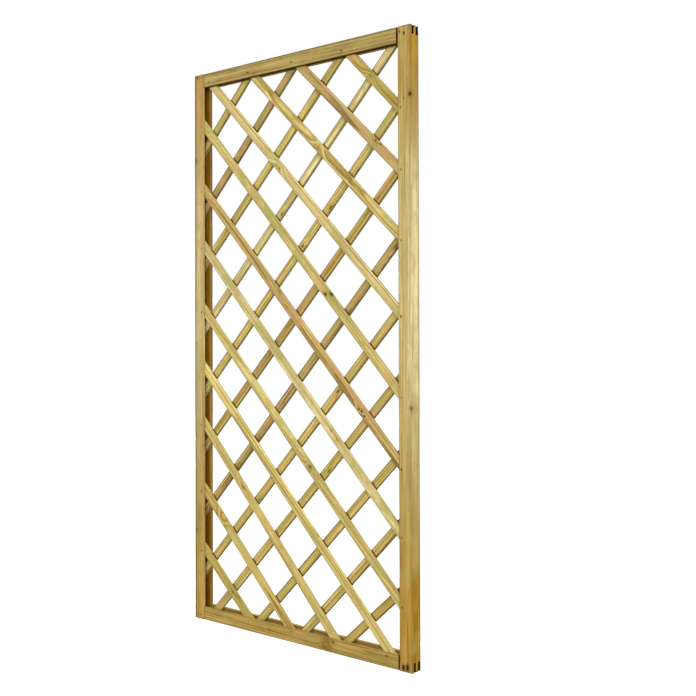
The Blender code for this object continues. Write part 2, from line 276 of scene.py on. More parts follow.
BACK_WOOD = (
    ("amber", 1.00, 0.70, 0.60, 0.30),
    ("honey", 0.97, 0.90, 0.50, 0.35),
    ("honey", 0.98, 0.80, 0.40, 0.50),
    ("honey", 1.00, 0.95, 0.55, 0.35),
    ("honey", 1.00, 0.75, 0.60, 0.40),
    ("rose", 0.95, 0.90, 0.45, 0.50),
    ("honey", 0.96, 0.85, 0.55, 0.40),
    ("straw", 1.06, 1.00, 0.70, 0.30),
    ("pale", 1.00, 0.75, 0.60, 0.40),
    ("honey", 0.97, 0.80, 0.65, 0.35),
    ("rose", 0.89, 0.70, 0.35, 0.60),
    ("honey", 0.93, 0.80, 0.60, 0.45),
)
MOSS = (0.69, 0.67, 0.36)
BLUSH = (0.79, 0.61, 0.41)
GOLDEN = (0.68, 0.52, 0.15)
PALE = (0.93, 0.86, 0.64)
KNOT_CORE = (0.20, 0.11, 0.03)
KNOT_HALO = (0.54, 0.39, 0.12)
# Stains round the heads and streaks on the inner side, also painted shade in the joints' gaps and the
# slots' walls
STAIN_AND_SHADE = (0.20, 0.10, 0.01)
# Dirt with painted shade on the arrises
DIRT_AND_PAINTED_SHADE = (0.40, 0.43, 0.42)
# Painted shadow beside the slats that cross a slat and under the top rail
CREASE_PAINTED_SHADOW = (0.42, 0.30, 0.06)
# Painted shade, golden brown, on a timber's inner side
INNER_PAINTED_SHADE = (0.80, 0.66, 0.24)
# End grain's tone; the top rail's is mostly painted shade, for the ends of its tenons that lie sunk in the
# stiles' slots
END_SHADE = {
    "stile": (0.72, 0.60, 0.42),
    "top_rail": (0.44, 0.23, 0.04),
    "bottom_rail": (0.90, 0.72, 0.25),
    "slat": (0.70, 0.58, 0.40),
}
IRON = (0.10, 0.05, 0.02)
RUST = (0.50, 0.33, 0.15)

# Wire: the noise that its rust comes from, the values over which it rusts, how far rusting lowers them
# and how rusted each kind is, then how rough and how metallic it is, clean and rusted, and its surface
RUST_NOISE = (900, 900, 900)
RUST_EDGE = (0.55, 0.72)
RUST_SHIFT = 0.4
RUSTED = {"dark_iron": 0.2, "rusty_iron": 0.9}
IRON_ROUGHNESS = (0.60, 0.90)
IRON_METAL = (0.3, 0.0)
IRON_BUMP = {"Strength": 0.4, "Distance": 0.0002}
IRON_GLOSS = 0.1

# The stiles are golden brown at the foot and the head, and pale between them: over which heights
# they turn golden, the height and the reach of the pale wood, and how strong the foot's, the head's
# and the pale wood's tone is, on the front and on the outer side. On one stile's outer side the foot's
# tone ends sharply. The front is less pale towards its inner edge.
FOOT_SPAN = (0.72, 0.08)
HEAD_SPAN = (1.34, 1.74)
PALE_PLACE = (1.07, 0.50)
PALE_INNER_SHARE = 0.3
STILE_TONES = {
    "left_stile": ((0.50, 0.40), (0.40, 0.35), (0.60, 0.40)),
    "right_stile": ((0.80, 0.80), (0.45, 0.95), (0.45, 0.92)),
}
SHARP_FOOT = "right_stile"
SHARP_FOOT_SPAN = (0.296, 0.288)

# A knot: how much nearer its points count across, inwards and along, which draws its shape out, its
# noise and how ragged that makes it, where its core ends in radii, how fast its halo and its swirl
# fade, how strong its core and halo are, and the least of its halo and what a dark knot gains
KNOT_SHRINK = (1.0, 0.35, 0.6)
KNOT_NOISE = ((260, 260, 180), 2.0)
KNOT_ROUGHNESS = 0.5
CORE_EDGE = (1.05, 0.6)
HALO_FADE = 0.28
SWIRL_FADE = 0.10
CORE_STRENGTH = 0.92
HALO_STRENGTH = 0.75
HALO_LEAST = 0.2
HALO_GAIN = 0.6

# Knots and figures that show in the photograph: across from the panel's left side, height, radius,
# how dark the knot is, and how far it swirls the grain round it, in its own radii
KNOTS = {
    "front_slat_01": ((0.176, 0.110, 0.0045, 0.5, 2.0),),
    "front_slat_02": ((0.131, 0.345, 0.0050, 0.1, 2.0),),
    "front_slat_03": ((0.224, 0.450, 0.0050, 0.4, 2.0),),
    "front_slat_04": ((0.546, 0.340, 0.0030, 1.0, 2.5),),
    "front_slat_05": ((0.515, 0.540, 0.0045, 0.6, 2.5),),
    "front_slat_06": ((0.598, 0.653, 0.0040, 0.4, 1.5), (0.622, 0.628, 0.0040, 0.3, 1.5)),
    "front_slat_07": (
        (0.060, 1.410, 0.0050, 0.1, 2.5),
        (0.388, 1.070, 0.0055, 0.2, 2.5),
        (0.706, 0.722, 0.0030, 1.0, 2.5),
        (0.7165, 0.7145, 0.0030, 1.0, 0.0),
        (0.727, 0.702, 0.0026, 1.0, 0.0),
    ),
    "front_slat_08": (
        (0.577, 1.057, 0.0044, 1.0, 2.5),
        (0.601, 1.057, 0.0058, 0.8, 0.0),
        (0.294, 1.364, 0.0045, 0.1, 2.0),
    ),
    "front_slat_09": ((0.385, 1.465, 0.0070, 0.1, 2.6), (0.390, 1.452, 0.0022, 0.8, 0.0)),
    "front_slat_10": ((0.550, 1.497, 0.0055, 0.1, 1.5),),
    "front_slat_11": ((0.772, 1.492, 0.0030, 0.7, 2.0), (0.790, 1.478, 0.0022, 0.7, 0.0)),
    "front_slat_12": ((0.752, 1.680, 0.0055, 0.3, 2.0),),
    "back_slat_04": ((0.583, 0.532, 0.0045, 0.5, 2.0),),
    "back_slat_05": ((0.620, 0.769, 0.0035, 1.0, 2.5), (0.289, 0.418, 0.0040, 0.4, 2.0)),
    "back_slat_06": ((0.838, 1.185, 0.0100, 0.45, 1.5), (0.838, 1.185, 0.0025, 0.9, 0.0)),
    "back_slat_08": (
        (0.593, 1.315, 0.0055, 0.6, 2.5),
        (0.698, 1.412, 0.0060, 0.2, 2.0),
        (0.478, 1.207, 0.0040, 0.8, 2.0),
    ),
    "back_slat_09": ((0.390, 1.312, 0.0045, 0.5, 2.0),),
    "left_stile": ((0.010, 0.290, 0.0045, 0.2, 1.5), (0.008, 1.515, 0.0060, 0.4, 1.5)),
    "right_stile": (
        (0.897, 1.606, 0.0050, 0.8, 0.5),
        (0.880, 1.600, 0.0300, 0.0, 0.0),
        (0.877, 1.597, 0.0018, 0.8, 0.0),
        (0.864, 1.588, 0.0018, 0.6, 0.0),
        (0.899, 0.732, 0.0045, 0.5, 1.0),
    ),
    "bottom_rail": (
        (0.571, 0.021, 0.0040, 0.35, 2.0),
        (0.588, 0.026, 0.0030, 0.30, 2.0),
        (0.345, 0.021, 0.0030, 0.4, 0.0),
    ),
    "top_rail": ((0.282, 1.762, 0.0060, 0.15, 0.0),),
}

# Brown patches without a core of their own: across from the panel's left side, height, radius and
# how dark they are
BROWN_PATCHES = {"bottom_rail": ((0.582, 0.012, 0.0085, 1.0), (0.584, 0.033, 0.0085, 1.0))}

# The photograph: its side, its focal length and how far below its top the optical axis lies, in
# pixels, and the camera that took it
IMAGE_SIDE = 696
FOCAL_PIXELS = 1038.9
AXIS_BELOW_TOP = 323.85
SENSOR_WIDTH = 36.0
CAMERA_PLACE = (2.18398, -2.32142, 0.93863)
CAMERA_TURN = 40.471
CAMERA_TILT = 0.561
CAMERA_ROLL = 0.166

# Light: the sky's strength, and each lamp's strength, the way to it and how wide it looks
SKY_STRENGTH = 0.95
LAMPS = {
    "key": (1.25, (0.53, -0.70, 0.48), 50),
    "back": (0.70, (-0.50, 0.70, 0.50), 50),
}
FLOOR_SIDE = 14.0
FLOOR_COLOUR = (0.66, 0.66, 0.66)
FLOOR_ROUGHNESS = 0.9
FLOOR_LIFT = 0.80

# The first number that each group of timbers draws its own grain and dents from
FIRST_SEEDS = {"frame": 1, "front": 11, "back": 31}


class Timber:
    """A timber's own axes in the panel: where its origin lies and how far it is turned about Y."""

    def __init__(self, name, origin, turn, width, length):
        self.name = name
        self.origin = Vector(origin)
        self.turn = math.radians(turn)
        self.width = width
        self.length = length
        self.across = np.array((math.cos(self.turn), -math.sin(self.turn)))
        self.along = np.array((math.sin(self.turn), math.cos(self.turn)))

    def in_panel(self, x, y, z):
        """Points of the panel for points of the timber: x and z turn in the panel's XZ plane."""
        place_x = self.origin.x + x * self.across[0] + z * self.along[0]
        place_z = self.origin.z + x * self.across[1] + z * self.along[1]
        return np.stack(np.broadcast_arrays(place_x, self.origin.y + y, place_z), axis=-1)

    def from_panel(self, place_x, place_z):
        """The timber's own x and z for a point of the panel's face."""
        step = np.array((place_x - self.origin.x, place_z - self.origin.z))
        return float(step @ self.across), float(step @ self.along)


def frame_timbers():
    """The four frame timbers' axes, read from the solids: origin on the outer edge, groove at the inner."""
    low, high = cad_low, cad_high
    top_low, top_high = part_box("top_rail")
    bottom_low, bottom_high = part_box("bottom_rail")
    places = {
        "left_stile": ((low.x, low.y, low.z), 0, high.z - low.z),
        "right_stile": ((high.x, low.y, high.z), 180, high.z - low.z),
        "top_rail": ((top_low.x, low.y, top_high.z), 90, top_high.x - top_low.x),
        "bottom_rail": ((bottom_high.x, low.y, bottom_low.z), -90, bottom_high.x - bottom_low.x),
    }
    return {name: Timber(name, *place[:2], FRAME_FACE, place[2]) for name, place in places.items()}


def read(name, items, label, width):
    """One value of every vertex or face of a CAD node's mesh, as rows of so many numbers."""
    source = getattr(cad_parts[name].data, items)
    values = np.empty(len(source) * width)
    source.foreach_get(label, values)
    return values.reshape(-1, width)


def slat_timber(name):
    """A slat's axes, read from its solid: the faces of its two long edges say how it is turned."""
    normals = read(name, "polygons", "normal", 3)
    areas = read(name, "polygons", "area", 1)[:, 0]
    on_edge = (np.abs(normals[:, 1]) < LEVEL_BELOW) & (np.abs(normals[:, ::2]).min(axis=1) > SLOPING_ABOVE)
    facing_down = np.where(normals[:, 2] < 0, 1, -1)
    across = (normals * (areas * facing_down * on_edge)[:, None]).sum(axis=0)[::2]
    across /= np.linalg.norm(across)
    along = np.array((-across[1], across[0]))
    points = read(name, "vertices", "co", 3)
    origin = np.zeros(2)
    spans = []
    for way in (across, along):
        reach = points[:, ::2] @ way
        origin += way * (reach.min() + reach.max()) / 2
        spans.append(reach.max() - reach.min())
    turn = math.degrees(math.atan2(along[0], along[1]))
    return Timber(name, (origin[0], points[:, 1].min(), origin[1]), turn, spans[0], spans[1])


def section(corners, radii, spacings):
    """Points round a section whose corners are arcs, and a mark that is 1 on its rounded arrises.

    An arc's centre lies one radius in from both edges that meet at its corner. The run after each
    corner is split into steps no longer than its spacing.
    """
    corners = np.array(corners, float)
    count = len(corners)
    quarter = np.linspace(0, np.pi / 2, ARC_STEPS + 1)[:, None]
    points = []
    marks = []
    for number in range(count):
        following = (number + 1) % count
        before = corners[number - 1] - corners[number]
        after = corners[following] - corners[number]
        length = np.linalg.norm(after)
        before /= np.linalg.norm(before)
        after /= length
        radius = radii[number]
        centre = corners[number] + radius * (before + after)
        points.append(centre - radius * (after * np.cos(quarter) + before * np.sin(quarter)))
        marks.append(np.full(ARC_STEPS + 1, float(radius > BROKEN_EDGE)))
        run = length - radius - radii[following]
        steps = max(1, math.ceil(run / spacings[number]))
        shares = np.arange(1, steps)[:, None] / steps
        points.append(corners[number] + after * (radius + run * shares))
        marks.append(np.zeros(steps - 1))
    return np.concatenate(points), np.concatenate(marks)


def dirt_and_shade_near(outline, corners, weights, reaches):
    """Dirt and painted shade: a bell round each corner, as high as its weight and as wide as its reach."""
    away = np.linalg.norm(outline[:, None] - np.array(corners)[None], axis=2)
    return (np.array(weights) * np.exp(-((away / np.array(reaches)) ** 2))).max(axis=1)


def outward_normals(outline):
    """Unit normals of a closed outline: the chord between a point's neighbours, turned a quarter."""
    chord = np.roll(outline, -1, axis=0) - np.roll(outline, 1, axis=0)
    normals = np.stack((chord[:, 1], -chord[:, 0]), axis=1)
    return normals / np.linalg.norm(normals, axis=1, keepdims=True)


def ripples(seed, lengths, z, around):
    """A smooth uneven height from -1 to 1: sines of z and of the share around, of unlike lengths."""
    rng = np.random.default_rng(seed)
    height = 0
    for length in lengths:
        turns = rng.integers(0, WAVES_ROUND + 1)
        phase = rng.uniform(0, 2 * np.pi, 2)
        wave = np.sin(2 * np.pi * z / length + phase[0])
        height = height + wave * np.cos(2 * np.pi * turns * around + phase[1])
    return height / len(lengths)


def smooth_step(value):
    """0 below 0, 1 above 1 and a smooth rise between."""
    share = np.clip(value, 0, 1)
    return share * share * (3 - 2 * share)


def dents(seed, z, marks, count):
    """Knocks along the arrises: bell-shaped dips at random places, felt only on the arc they sit on."""
    rng = np.random.default_rng(seed)
    depth = np.zeros((len(z), len(marks)))
    number = np.arange(len(marks))
    for start in np.flatnonzero(np.diff(marks, prepend=0) > 0):
        on_arc = (number >= start) & (number <= start + ARC_STEPS)
        for _ in range(count):
            place = rng.uniform(z.min(), z.max())
            size = DENT_DEPTH * rng.uniform(*DENT_DEPTH_SHARES) ** 2
            reach = DENT_LENGTH * rng.uniform(*DENT_LENGTH_SHARES)
            depth += (size * np.exp(-(((z - place) / reach) ** 2)))[:, None] * on_arc
    return depth


def unevenness(timber, seed, z, marks, waves, dent_share):
    """How deep each point lies below the true section, by the waves of planing and the dents."""
    around = np.arange(len(marks)) / len(marks)
    depth = WAVE_DEPTH * (1 + ripples(seed, waves, z, around)) / 2
    return depth + dent_share * dents(seed, z.mean(axis=1), marks, round(timber.length / DENT_PITCH))


def carried(timber, outline, sunk, z):
    """A section's points, sunk along its normals and carried along the timber, in the panel."""
    normals = outward_normals(outline)
    x, y = (outline[:, side] - normals[:, side] * sunk for side in (0, 1))
    return timber.in_panel(x, y, z)


def solid_from_rings(name, rings, attributes):
    """Closed mesh from a grid of points: each ring runs round the piece, and flat faces close the ends."""
    stations, around = rings.shape[:2]
    ring = np.arange(around)
    after = np.roll(ring, -1)
    first = np.arange(stations - 1)[:, None] * around
    quads = np.stack((first + ring, first + after, first + around + after, first + around + ring), axis=-1)
    faces = quads.reshape(-1, 4).tolist()
    faces.append(ring[::-1].tolist())
    faces.append((ring + (stations - 1) * around).tolist())
    mesh = bpy.data.meshes.new(name)
    mesh.from_pydata(rings.reshape(-1, 3), [], faces)
    for label, values in attributes.items():
        spread = np.broadcast_to(values, (stations, around)).astype(np.float32)
        mesh.attributes.new(label, "FLOAT", "POINT").data.foreach_set("value", spread.ravel())
    return mesh


def frame_mesh(timber, craters, seed):
    """A grooved frame timber: its section carried along z, sunk by ripples, dents and craters.

    Stains lie round the craters. Painted shade lies on both timbers where a rail's shoulder meets a
    stile, and fills the groove and thins out over the rear lip towards the back.
    """
    depth = cad_high.y - cad_low.y
    floor = FRAME_FACE - GROOVE_DEPTH
    front_lip = FRAME_FACE - (BOTTOM_FRONT_LIP_SHORTFALL if timber.name == "bottom_rail" else 0)
    rear_lip = FRAME_FACE - (TOP_REAR_LIP_SHORTFALL if timber.name == "top_rail" else 0)
    corners = (
        (0, 0),
        (front_lip, 0),
        (front_lip, FRONT_LIP),
        (floor, FRONT_LIP),
        (floor, GROOVE_BACK),
        (rear_lip, GROOVE_BACK),
        (rear_lip, depth),
        (0, depth),
    )
    radii = (FRAME_ARRIS,) * 2 + (BROKEN_EDGE,) * 4 + (FRAME_ARRIS,) * 2
    spacings = (FRAME_FINE,) + (FRAME_COARSE,) * 7
    outline, marks = section(corners, radii, spacings)
    z = np.linspace(0, timber.length, round(timber.length / FRAME_STATION) + 1)
    near_craters = [crater_z + CRATER_STATIONS for _, crater_z, *_ in craters]
    near_ends = np.concatenate((END_STATIONS, SHOULDER_STATIONS))
    z = np.concatenate([z, near_ends, timber.length - near_ends] + near_craters)
    z = np.unique(z.clip(0, timber.length))
    sunk = unevenness(timber, seed, z[:, None], marks, FRAME_WAVES, 1)
    in_front = outline[:, 1] < BROKEN_EDGE
    # Painted shade on the inner side: on the front lip's edge, in the groove, and fading over the rear lip
    behind_lip = smooth_step((outline[:, 1] - FRONT_LIP + BROKEN_EDGE) / BROKEN_EDGE)
    to_back = smooth_step((outline[:, 1] - GROOVE_BACK) / REAR_LIP_FADE)
    on_lip, in_groove, at_back = INNER_PAINTED_SHADES[timber.name]
    on_inner = (outline[:, 0] > floor - BROKEN_EDGE) & (outline[:, 1] > BROKEN_EDGE)
    inner = on_inner * (on_lip + (in_groove - on_lip) * behind_lip + (at_back - in_groove) * to_back)
    # Painted shade in the gap where a rail's shoulder meets a stile
    from_end = np.minimum(z, timber.length - z)[:, None]
    if timber.name.endswith("stile"):
        from_side = FRAME_FACE - outline[:, 0]
        near_shoulder = (from_end < FRAME_FACE) * smooth_step(1 - from_side / JOINT_PAINTED_SHADE_REACH)
    else:
        near_shoulder = smooth_step(1 - (from_end - FRAME_FACE) / JOINT_PAINTED_SHADE_REACH)
    stain = JOINT_PAINTED_SHADE * near_shoulder
    for crater_x, crater_z, (radius, deep), (reach_x, reach_z), darkness in craters:
        step_x, step_z = outline[:, 0] - crater_x, z[:, None] - crater_z
        sunk += in_front * deep * smooth_step((radius - np.hypot(step_x, step_z)) / CRATER_WALL)
        bell = np.exp(-(((step_x / reach_x) ** 2 + (step_z / reach_z) ** 2) ** 2))
        stain = np.maximum(stain, in_front * darkness * bell)
    # Dirt and painted shade on the arrises, on the one behind the groove, and at the timber's ends
    dirt_and_shade_corners = (corners[0], corners[1], corners[5], corners[6], corners[7])
    weights, outer_reach = FRAME_DIRT_AND_SHADE[timber.name]
    reaches = (outer_reach,) + (INNER_DIRT_AND_SHADE_REACH,) * 3 + (outer_reach,)
    dirt = dirt_and_shade_near(outline, dirt_and_shade_corners, weights, reaches)
    dirt = np.maximum(dirt, END_DIRT_AND_SHADE * np.exp(-((from_end / END_DIRT_AND_SHADE_REACH) ** 2)))
    rings = carried(timber, outline, sunk, z[:, None])
    attributes = {"dirt": dirt, "stain": stain, "inner": inner, "covered": np.full(1, CREASE_REACH)}
    return solid_from_rings(timber.name, rings, attributes)


def clear_of_slats(places, others):
    """How far points of a slat lie from the near edges of the slats that cross it; negative under them.

    Points below a crossing slat count as a little further away, so that the painted shadow
    there is narrower.
    """
    clear = np.full(places.shape[:2], np.inf)
    for timber in others:
        below = (places - np.array((timber.origin.x, timber.origin.z))) @ timber.across
        clear = np.minimum(clear, np.abs(below) + CREASE_EASE * (below > 0) - timber.width / 2)
    return clear


def slat_mesh(timber, limits, others, seed):
    """A slat: its section carried along z from the floor of one groove to the floor of another.

    Each point of the section runs along its own line, which ends at the nearer of the upright and the
    level groove floor, so that the end faces lie flat on them. Painted shadow lies on the half that touches
    the other layer close to the slats there, and on both halves close to the top rail.
    """
    node_low, node_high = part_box(timber.name)
    depth = node_high.y - node_low.y
    half = timber.width / 2
    corners = ((-half, 0), (half, 0), (half, depth), (-half, depth))
    outline, marks = section(corners, (SLAT_ARRIS,) * 4, (SLAT_SPACING,) * 4)
    place = np.array((timber.origin.x, timber.origin.z)) + outline[:, :1] * timber.across
    low, high = limits
    ends = []
    for sense in (-1, 1):
        way = sense * timber.along
        floors = np.where(way > 0, high, low)
        ends.append(sense * ((floors - place) / way).min(axis=1))
    share = np.linspace(0, 1, round(timber.length / SLAT_STATION) + 1)[:, None]
    z = ends[0] + (ends[1] - ends[0]) * share
    sunk = unevenness(timber, seed, z, marks, SLAT_WAVES, SLAT_DENT_SHARE)
    layer = timber.name.split("_")[0]
    # Dirt and painted shade on the slat's arrises
    dirt = dirt_and_shade_near(outline, corners, SLAT_DIRT_AND_SHADE[layer], (SLAT_DIRT_AND_SHADE_REACH,) * 4)
    rings = carried(timber, outline, sunk, z)
    # Painted shadow beside the crossing slats, on the half that touches them, and under the top rail on
    # both halves
    touching = (outline[:, 1] > depth / 2) == (layer == "front")
    clear = np.where(touching, clear_of_slats(rings[:, :, [0, 2]], others), np.inf)
    covered = np.minimum(clear, high[1] - GROOVE_DEPTH - rings[:, :, 2])
    attributes = {"dirt": dirt, "stain": np.zeros(1), "inner": np.zeros(1), "covered": covered}
    return solid_from_rings(timber.name, rings, attributes)


def head_mesh(name, kind):
    """A turned brad or nail: a low dome for a head, a neck, and a shank that ends in a point."""
    head, height, shank, _, _ = HEADS[kind]
    low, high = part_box(name)
    middle = (low + high) / 2
    quarter = DOME_SHARES * np.pi / 2
    radius = np.concatenate([head * np.sin(quarter), [head, shank], shank * POINT_SHARES])
    dome = DOME_HEIGHT_SHARE * height * (1 - np.cos(quarter))
    tip = high.y - low.y - POINT_RADII * shank * (POINT_SHARES - POINT_SHARES[-1])
    depth = low.y + np.concatenate([dome, [height, height], tip])
    angle = 2 * np.pi * np.arange(HEAD_SIDES) / HEAD_SIDES
    place_x = middle.x + radius[:, None] * np.cos(angle)
    place_z = middle.z + radius[:, None] * np.sin(angle)
    rings = np.stack(np.broadcast_arrays(place_x, depth[:, None], place_z), axis=-1)
    return solid_from_rings(name, rings, {})


def new_object(name, data):
    """A new object in the scene."""
    added = bpy.data.objects.new(name, data)
    bpy.context.scene.collection.objects.link(added)
    return added


def cut_boxes(piece, boxes):
    """Cut boxes, given by two corners each, out of a piece for good."""
    corner_shares = np.array([(x, y, z) for x in (0, 1) for y in (0, 1) for z in (0, 1)])
    sides = ((0, 1, 3, 2), (4, 6, 7, 5), (0, 4, 5, 1), (2, 3, 7, 6), (0, 2, 6, 4), (1, 5, 7, 3))
    points = []
    faces = []
    for low, high in boxes:
        faces += [[len(points) + corner for corner in side] for side in sides]
        points += (np.array(low) + corner_shares * (np.array(high) - np.array(low))).tolist()
    tool_mesh = bpy.data.meshes.new(piece.name + "_tool")
    tool_mesh.from_pydata(points, [], faces)
    tool = new_object(piece.name + "_tool", tool_mesh)
    modifier = piece.modifiers.new("joint", "BOOLEAN")
    modifier.operation = "DIFFERENCE"
    modifier.object = tool
    shaped = piece.evaluated_get(bpy.context.evaluated_depsgraph_get())
    whole = piece.data
    piece.data = bpy.data.meshes.new_from_object(shaped)
    piece.modifiers.clear()
    bpy.data.objects.remove(tool)
    bpy.data.meshes.remove(tool_mesh)
    bpy.data.meshes.remove(whole)


def slot_boxes(name):
    """The open slots at both ends of a stile, as high as the rails' tenons."""
    node_low, node_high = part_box(name)
    tenon = FRAME_FACE - GROOVE_DEPTH + JOINT_CLEARANCE
    spans = ((node_low.z - OVERRUN, node_low.z + tenon), (node_high.z - tenon, node_high.z + OVERRUN))
    boxes = []
    for front, back in TENON_SPANS:
        near = node_low.y + front - JOINT_CLEARANCE
        far = node_low.y + back + JOINT_CLEARANCE
        for bottom, top in spans:
            low = (node_low.x - OVERRUN, near, bottom)
            boxes.append((low, (node_high.x + OVERRUN, far, top)))
    return boxes


def waste_boxes(name, groove_below):
    """What is sawn from both ends of a rail: its grooved side, and then the wood round its tenons."""
    node_low, node_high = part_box(name)
    left_shoulder = node_low.x + FRAME_FACE + JOINT_CLEARANCE
    right_shoulder = node_high.x - FRAME_FACE
    tenon = FRAME_FACE - GROOVE_DEPTH
    low_z, high_z = node_low.z - OVERRUN, node_high.z + OVERRUN
    sawn_low, sawn_high = (low_z, node_high.z - tenon) if groove_below else (node_low.z + tenon, high_z)
    depth = node_high.y - node_low.y
    edges = [-OVERRUN] + [edge for span in TENON_SPANS for edge in span] + [depth + OVERRUN]
    grooved_side = []
    round_tenons = []
    for left, right in ((node_low.x - OVERRUN, left_shoulder), (right_shoulder, node_high.x + OVERRUN)):
        low = (left, node_low.y - OVERRUN, sawn_low)
        grooved_side.append((low, (right, node_high.y + OVERRUN, sawn_high)))
        for near, far in zip(edges[::2], edges[1::2]):
            low = (left, node_low.y + near, low_z)
            round_tenons.append((low, (right, node_low.y + far, high_z)))
    return grooved_side, round_tenons


def fill(tree, node, inputs):
    """Join or fill a shader node's inputs."""
    for socket, value in inputs.items():
        if isinstance(value, bpy.types.NodeSocket):
            tree.links.new(value, node.inputs[socket])
        else:
            node.inputs[socket].default_value = value


def put(tree, kind, inputs=None, **settings):
    """Add a shader node, set its options, and join or fill its inputs."""
    node = tree.nodes.new("ShaderNode" + kind)
    for option, value in settings.items():
        setattr(node, option, value)
    fill(tree, node, inputs or {})
    return node


def maths(tree, operation, *values):
    """The result of a sum on numbers or sockets."""
    return put(tree, "Math", dict(enumerate(values)), operation=operation).outputs[0]


def times(tree, first, second):
    """The product of two numbers or sockets."""
    return maths(tree, "MULTIPLY", first, second)


def vectors(tree, operation, *values):
    """The result of a sum on vectors or their sockets: a number for a length or a dot product."""
    outputs = put(tree, "VectorMath", dict(enumerate(values)), operation=operation).outputs
    return outputs["Value" if operation in ("LENGTH", "DOT_PRODUCT") else "Vector"]


def scaled(tree, vector, scale):
    """A vector times a number or socket."""
    return put(tree, "VectorMath", {0: vector, "Scale": scale}, operation="SCALE").outputs[0]


def part(tree, vector, axis):
    """What a vector has along one axis."""
    return put(tree, "SeparateXYZ", {0: vector}).outputs[axis]


def rise(tree, value, low, high):
    """0 below low, 1 above high and a smooth rise between; low may be the larger, for a fall."""
    limits = {"Value": value, "From Min": low, "From Max": high}
    return put(tree, "MapRange", limits, interpolation_type="SMOOTHSTEP").outputs[0]


def spread(tree, value, low, high):
    """A value from 0 to 1, spread over low to high."""
    return put(tree, "MapRange", {"Value": value, "To Min": low, "To Max": high}).outputs[0]


def blend(tree, share, first, second, how="MIX"):
    """The first colour with a share of the second mixed in, or multiplied on."""
    node = put(tree, "Mix", {0: share, 6: first, 7: second}, data_type="RGBA", blend_type=how)
    return node.outputs[2]


def noise(tree, vector, scale, detail=3.0):
    """Soft noise from 0 to 1 and its three-part form, with its own scale along each axis."""
    stretched = vectors(tree, "MULTIPLY", vector, scale)
    node = put(tree, "TexNoise", {"Vector": stretched, "Scale": 1.0, "Detail": detail})
    return node.outputs[0], node.outputs[1]


def new_group(name, inputs, outputs):
    """An empty node group whose sockets are named by kind: the group, its inputs inside and its output."""
    tree = bpy.data.node_groups.new(name, "ShaderNodeTree")
    for way, sockets in (("INPUT", inputs), ("OUTPUT", outputs)):
        for kind, labels in sockets.items():
            for label in labels:
                tree.interface.new_socket(label, in_out=way, socket_type="NodeSocket" + kind)
    return tree, tree.nodes.new("NodeGroupInput").outputs, tree.nodes.new("NodeGroupOutput")


def new_material(name):
    """A new material, its node tree and its shader."""
    material = bpy.data.materials.new(name)
    material.use_nodes = True
    return material, material.node_tree, material.node_tree.nodes["Principled BSDF"]


def screen(colour):
    """A screen colour as the linear colour with its alpha that a shader takes."""
    parts = np.array(colour)
    bright = ((parts + 0.055) / 1.055) ** 2.4
    return (*np.where(parts > 0.04045, bright, parts / 12.92).tolist(), 1.0)


def knot_group():
    """A knot: its core and halo as masks, and how far it pushes the rings round it apart.

    It is the front end of a branch that tapers into the timber, drawn out a little along the grain.
    """
    inputs = {"Vector": ("Vector", "Centre"), "Float": ("Radius", "Swirl")}
    tree, given, result = new_group("knot", inputs, {"Float": ("Core", "Halo", "Swell")})
    away = vectors(tree, "SUBTRACT", given["Vector"], given["Centre"])
    away = vectors(tree, "LENGTH", vectors(tree, "MULTIPLY", away, KNOT_SHRINK))
    away = maths(tree, "DIVIDE", away, given["Radius"])
    rough, _ = noise(tree, given["Vector"], *KNOT_NOISE)
    away = maths(tree, "ADD", away, times(tree, maths(tree, "SUBTRACT", rough, 0.5), KNOT_ROUGHNESS))
    square = times(tree, away, away)
    wide_bell = maths(tree, "EXPONENT", times(tree, square, -SWIRL_FADE))
    masks = {
        "Core": rise(tree, away, *CORE_EDGE),
        "Halo": maths(tree, "EXPONENT", times(tree, square, -HALO_FADE)),
        "Swell": times(tree, wide_bell, times(tree, given["Radius"], given["Swirl"])),
    }
    fill(tree, result, masks)
    return tree


def growth_rings(tree, given, shifted):
    """Growth rings round a pith that drifts along the timber: late wood as a mask, and each ring's tone."""
    paces = {"X": WAVER_PACE_ACROSS, "Y": WAVER_PACE_ACROSS, "Z": given["Waver Pace"]}
    _, waver = noise(tree, shifted, put(tree, "CombineXYZ", paces).outputs[0])
    waver = scaled(tree, vectors(tree, "ADD", waver, (-0.5, -0.5, -0.5)), given["Waver"])
    drift = scaled(tree, given["Drift"], part(tree, given["Vector"], "Z"))
    spoke = vectors(tree, "SUBTRACT", given["Vector"], vectors(tree, "ADD", given["Pith"], drift))
    spoke = vectors(tree, "MULTIPLY", vectors(tree, "ADD", spoke, waver), (1, 1, 0))
    radius = maths(tree, "ADD", vectors(tree, "LENGTH", spoke), given["Swell"])
    varied = {"W": radius, "Scale": RING_VARIETY_PACE, "Detail": 1.0}
    uneven = put(tree, "TexNoise", varied, noise_dimensions="1D").outputs[0]
    count = maths(tree, "DIVIDE", radius, given["Ring Width"])
    count = maths(tree, "ADD", count, times(tree, uneven, RING_VARIETY))
    share = maths(tree, "FRACT", count)
    late = times(tree, rise(tree, share, *LATE_WOOD_START), rise(tree, share, *LATE_WOOD_END))
    tone = put(tree, "TexWhiteNoise", {"W": maths(tree, "FLOOR", count)}, noise_dimensions="1D")
    return late, tone.outputs[0]


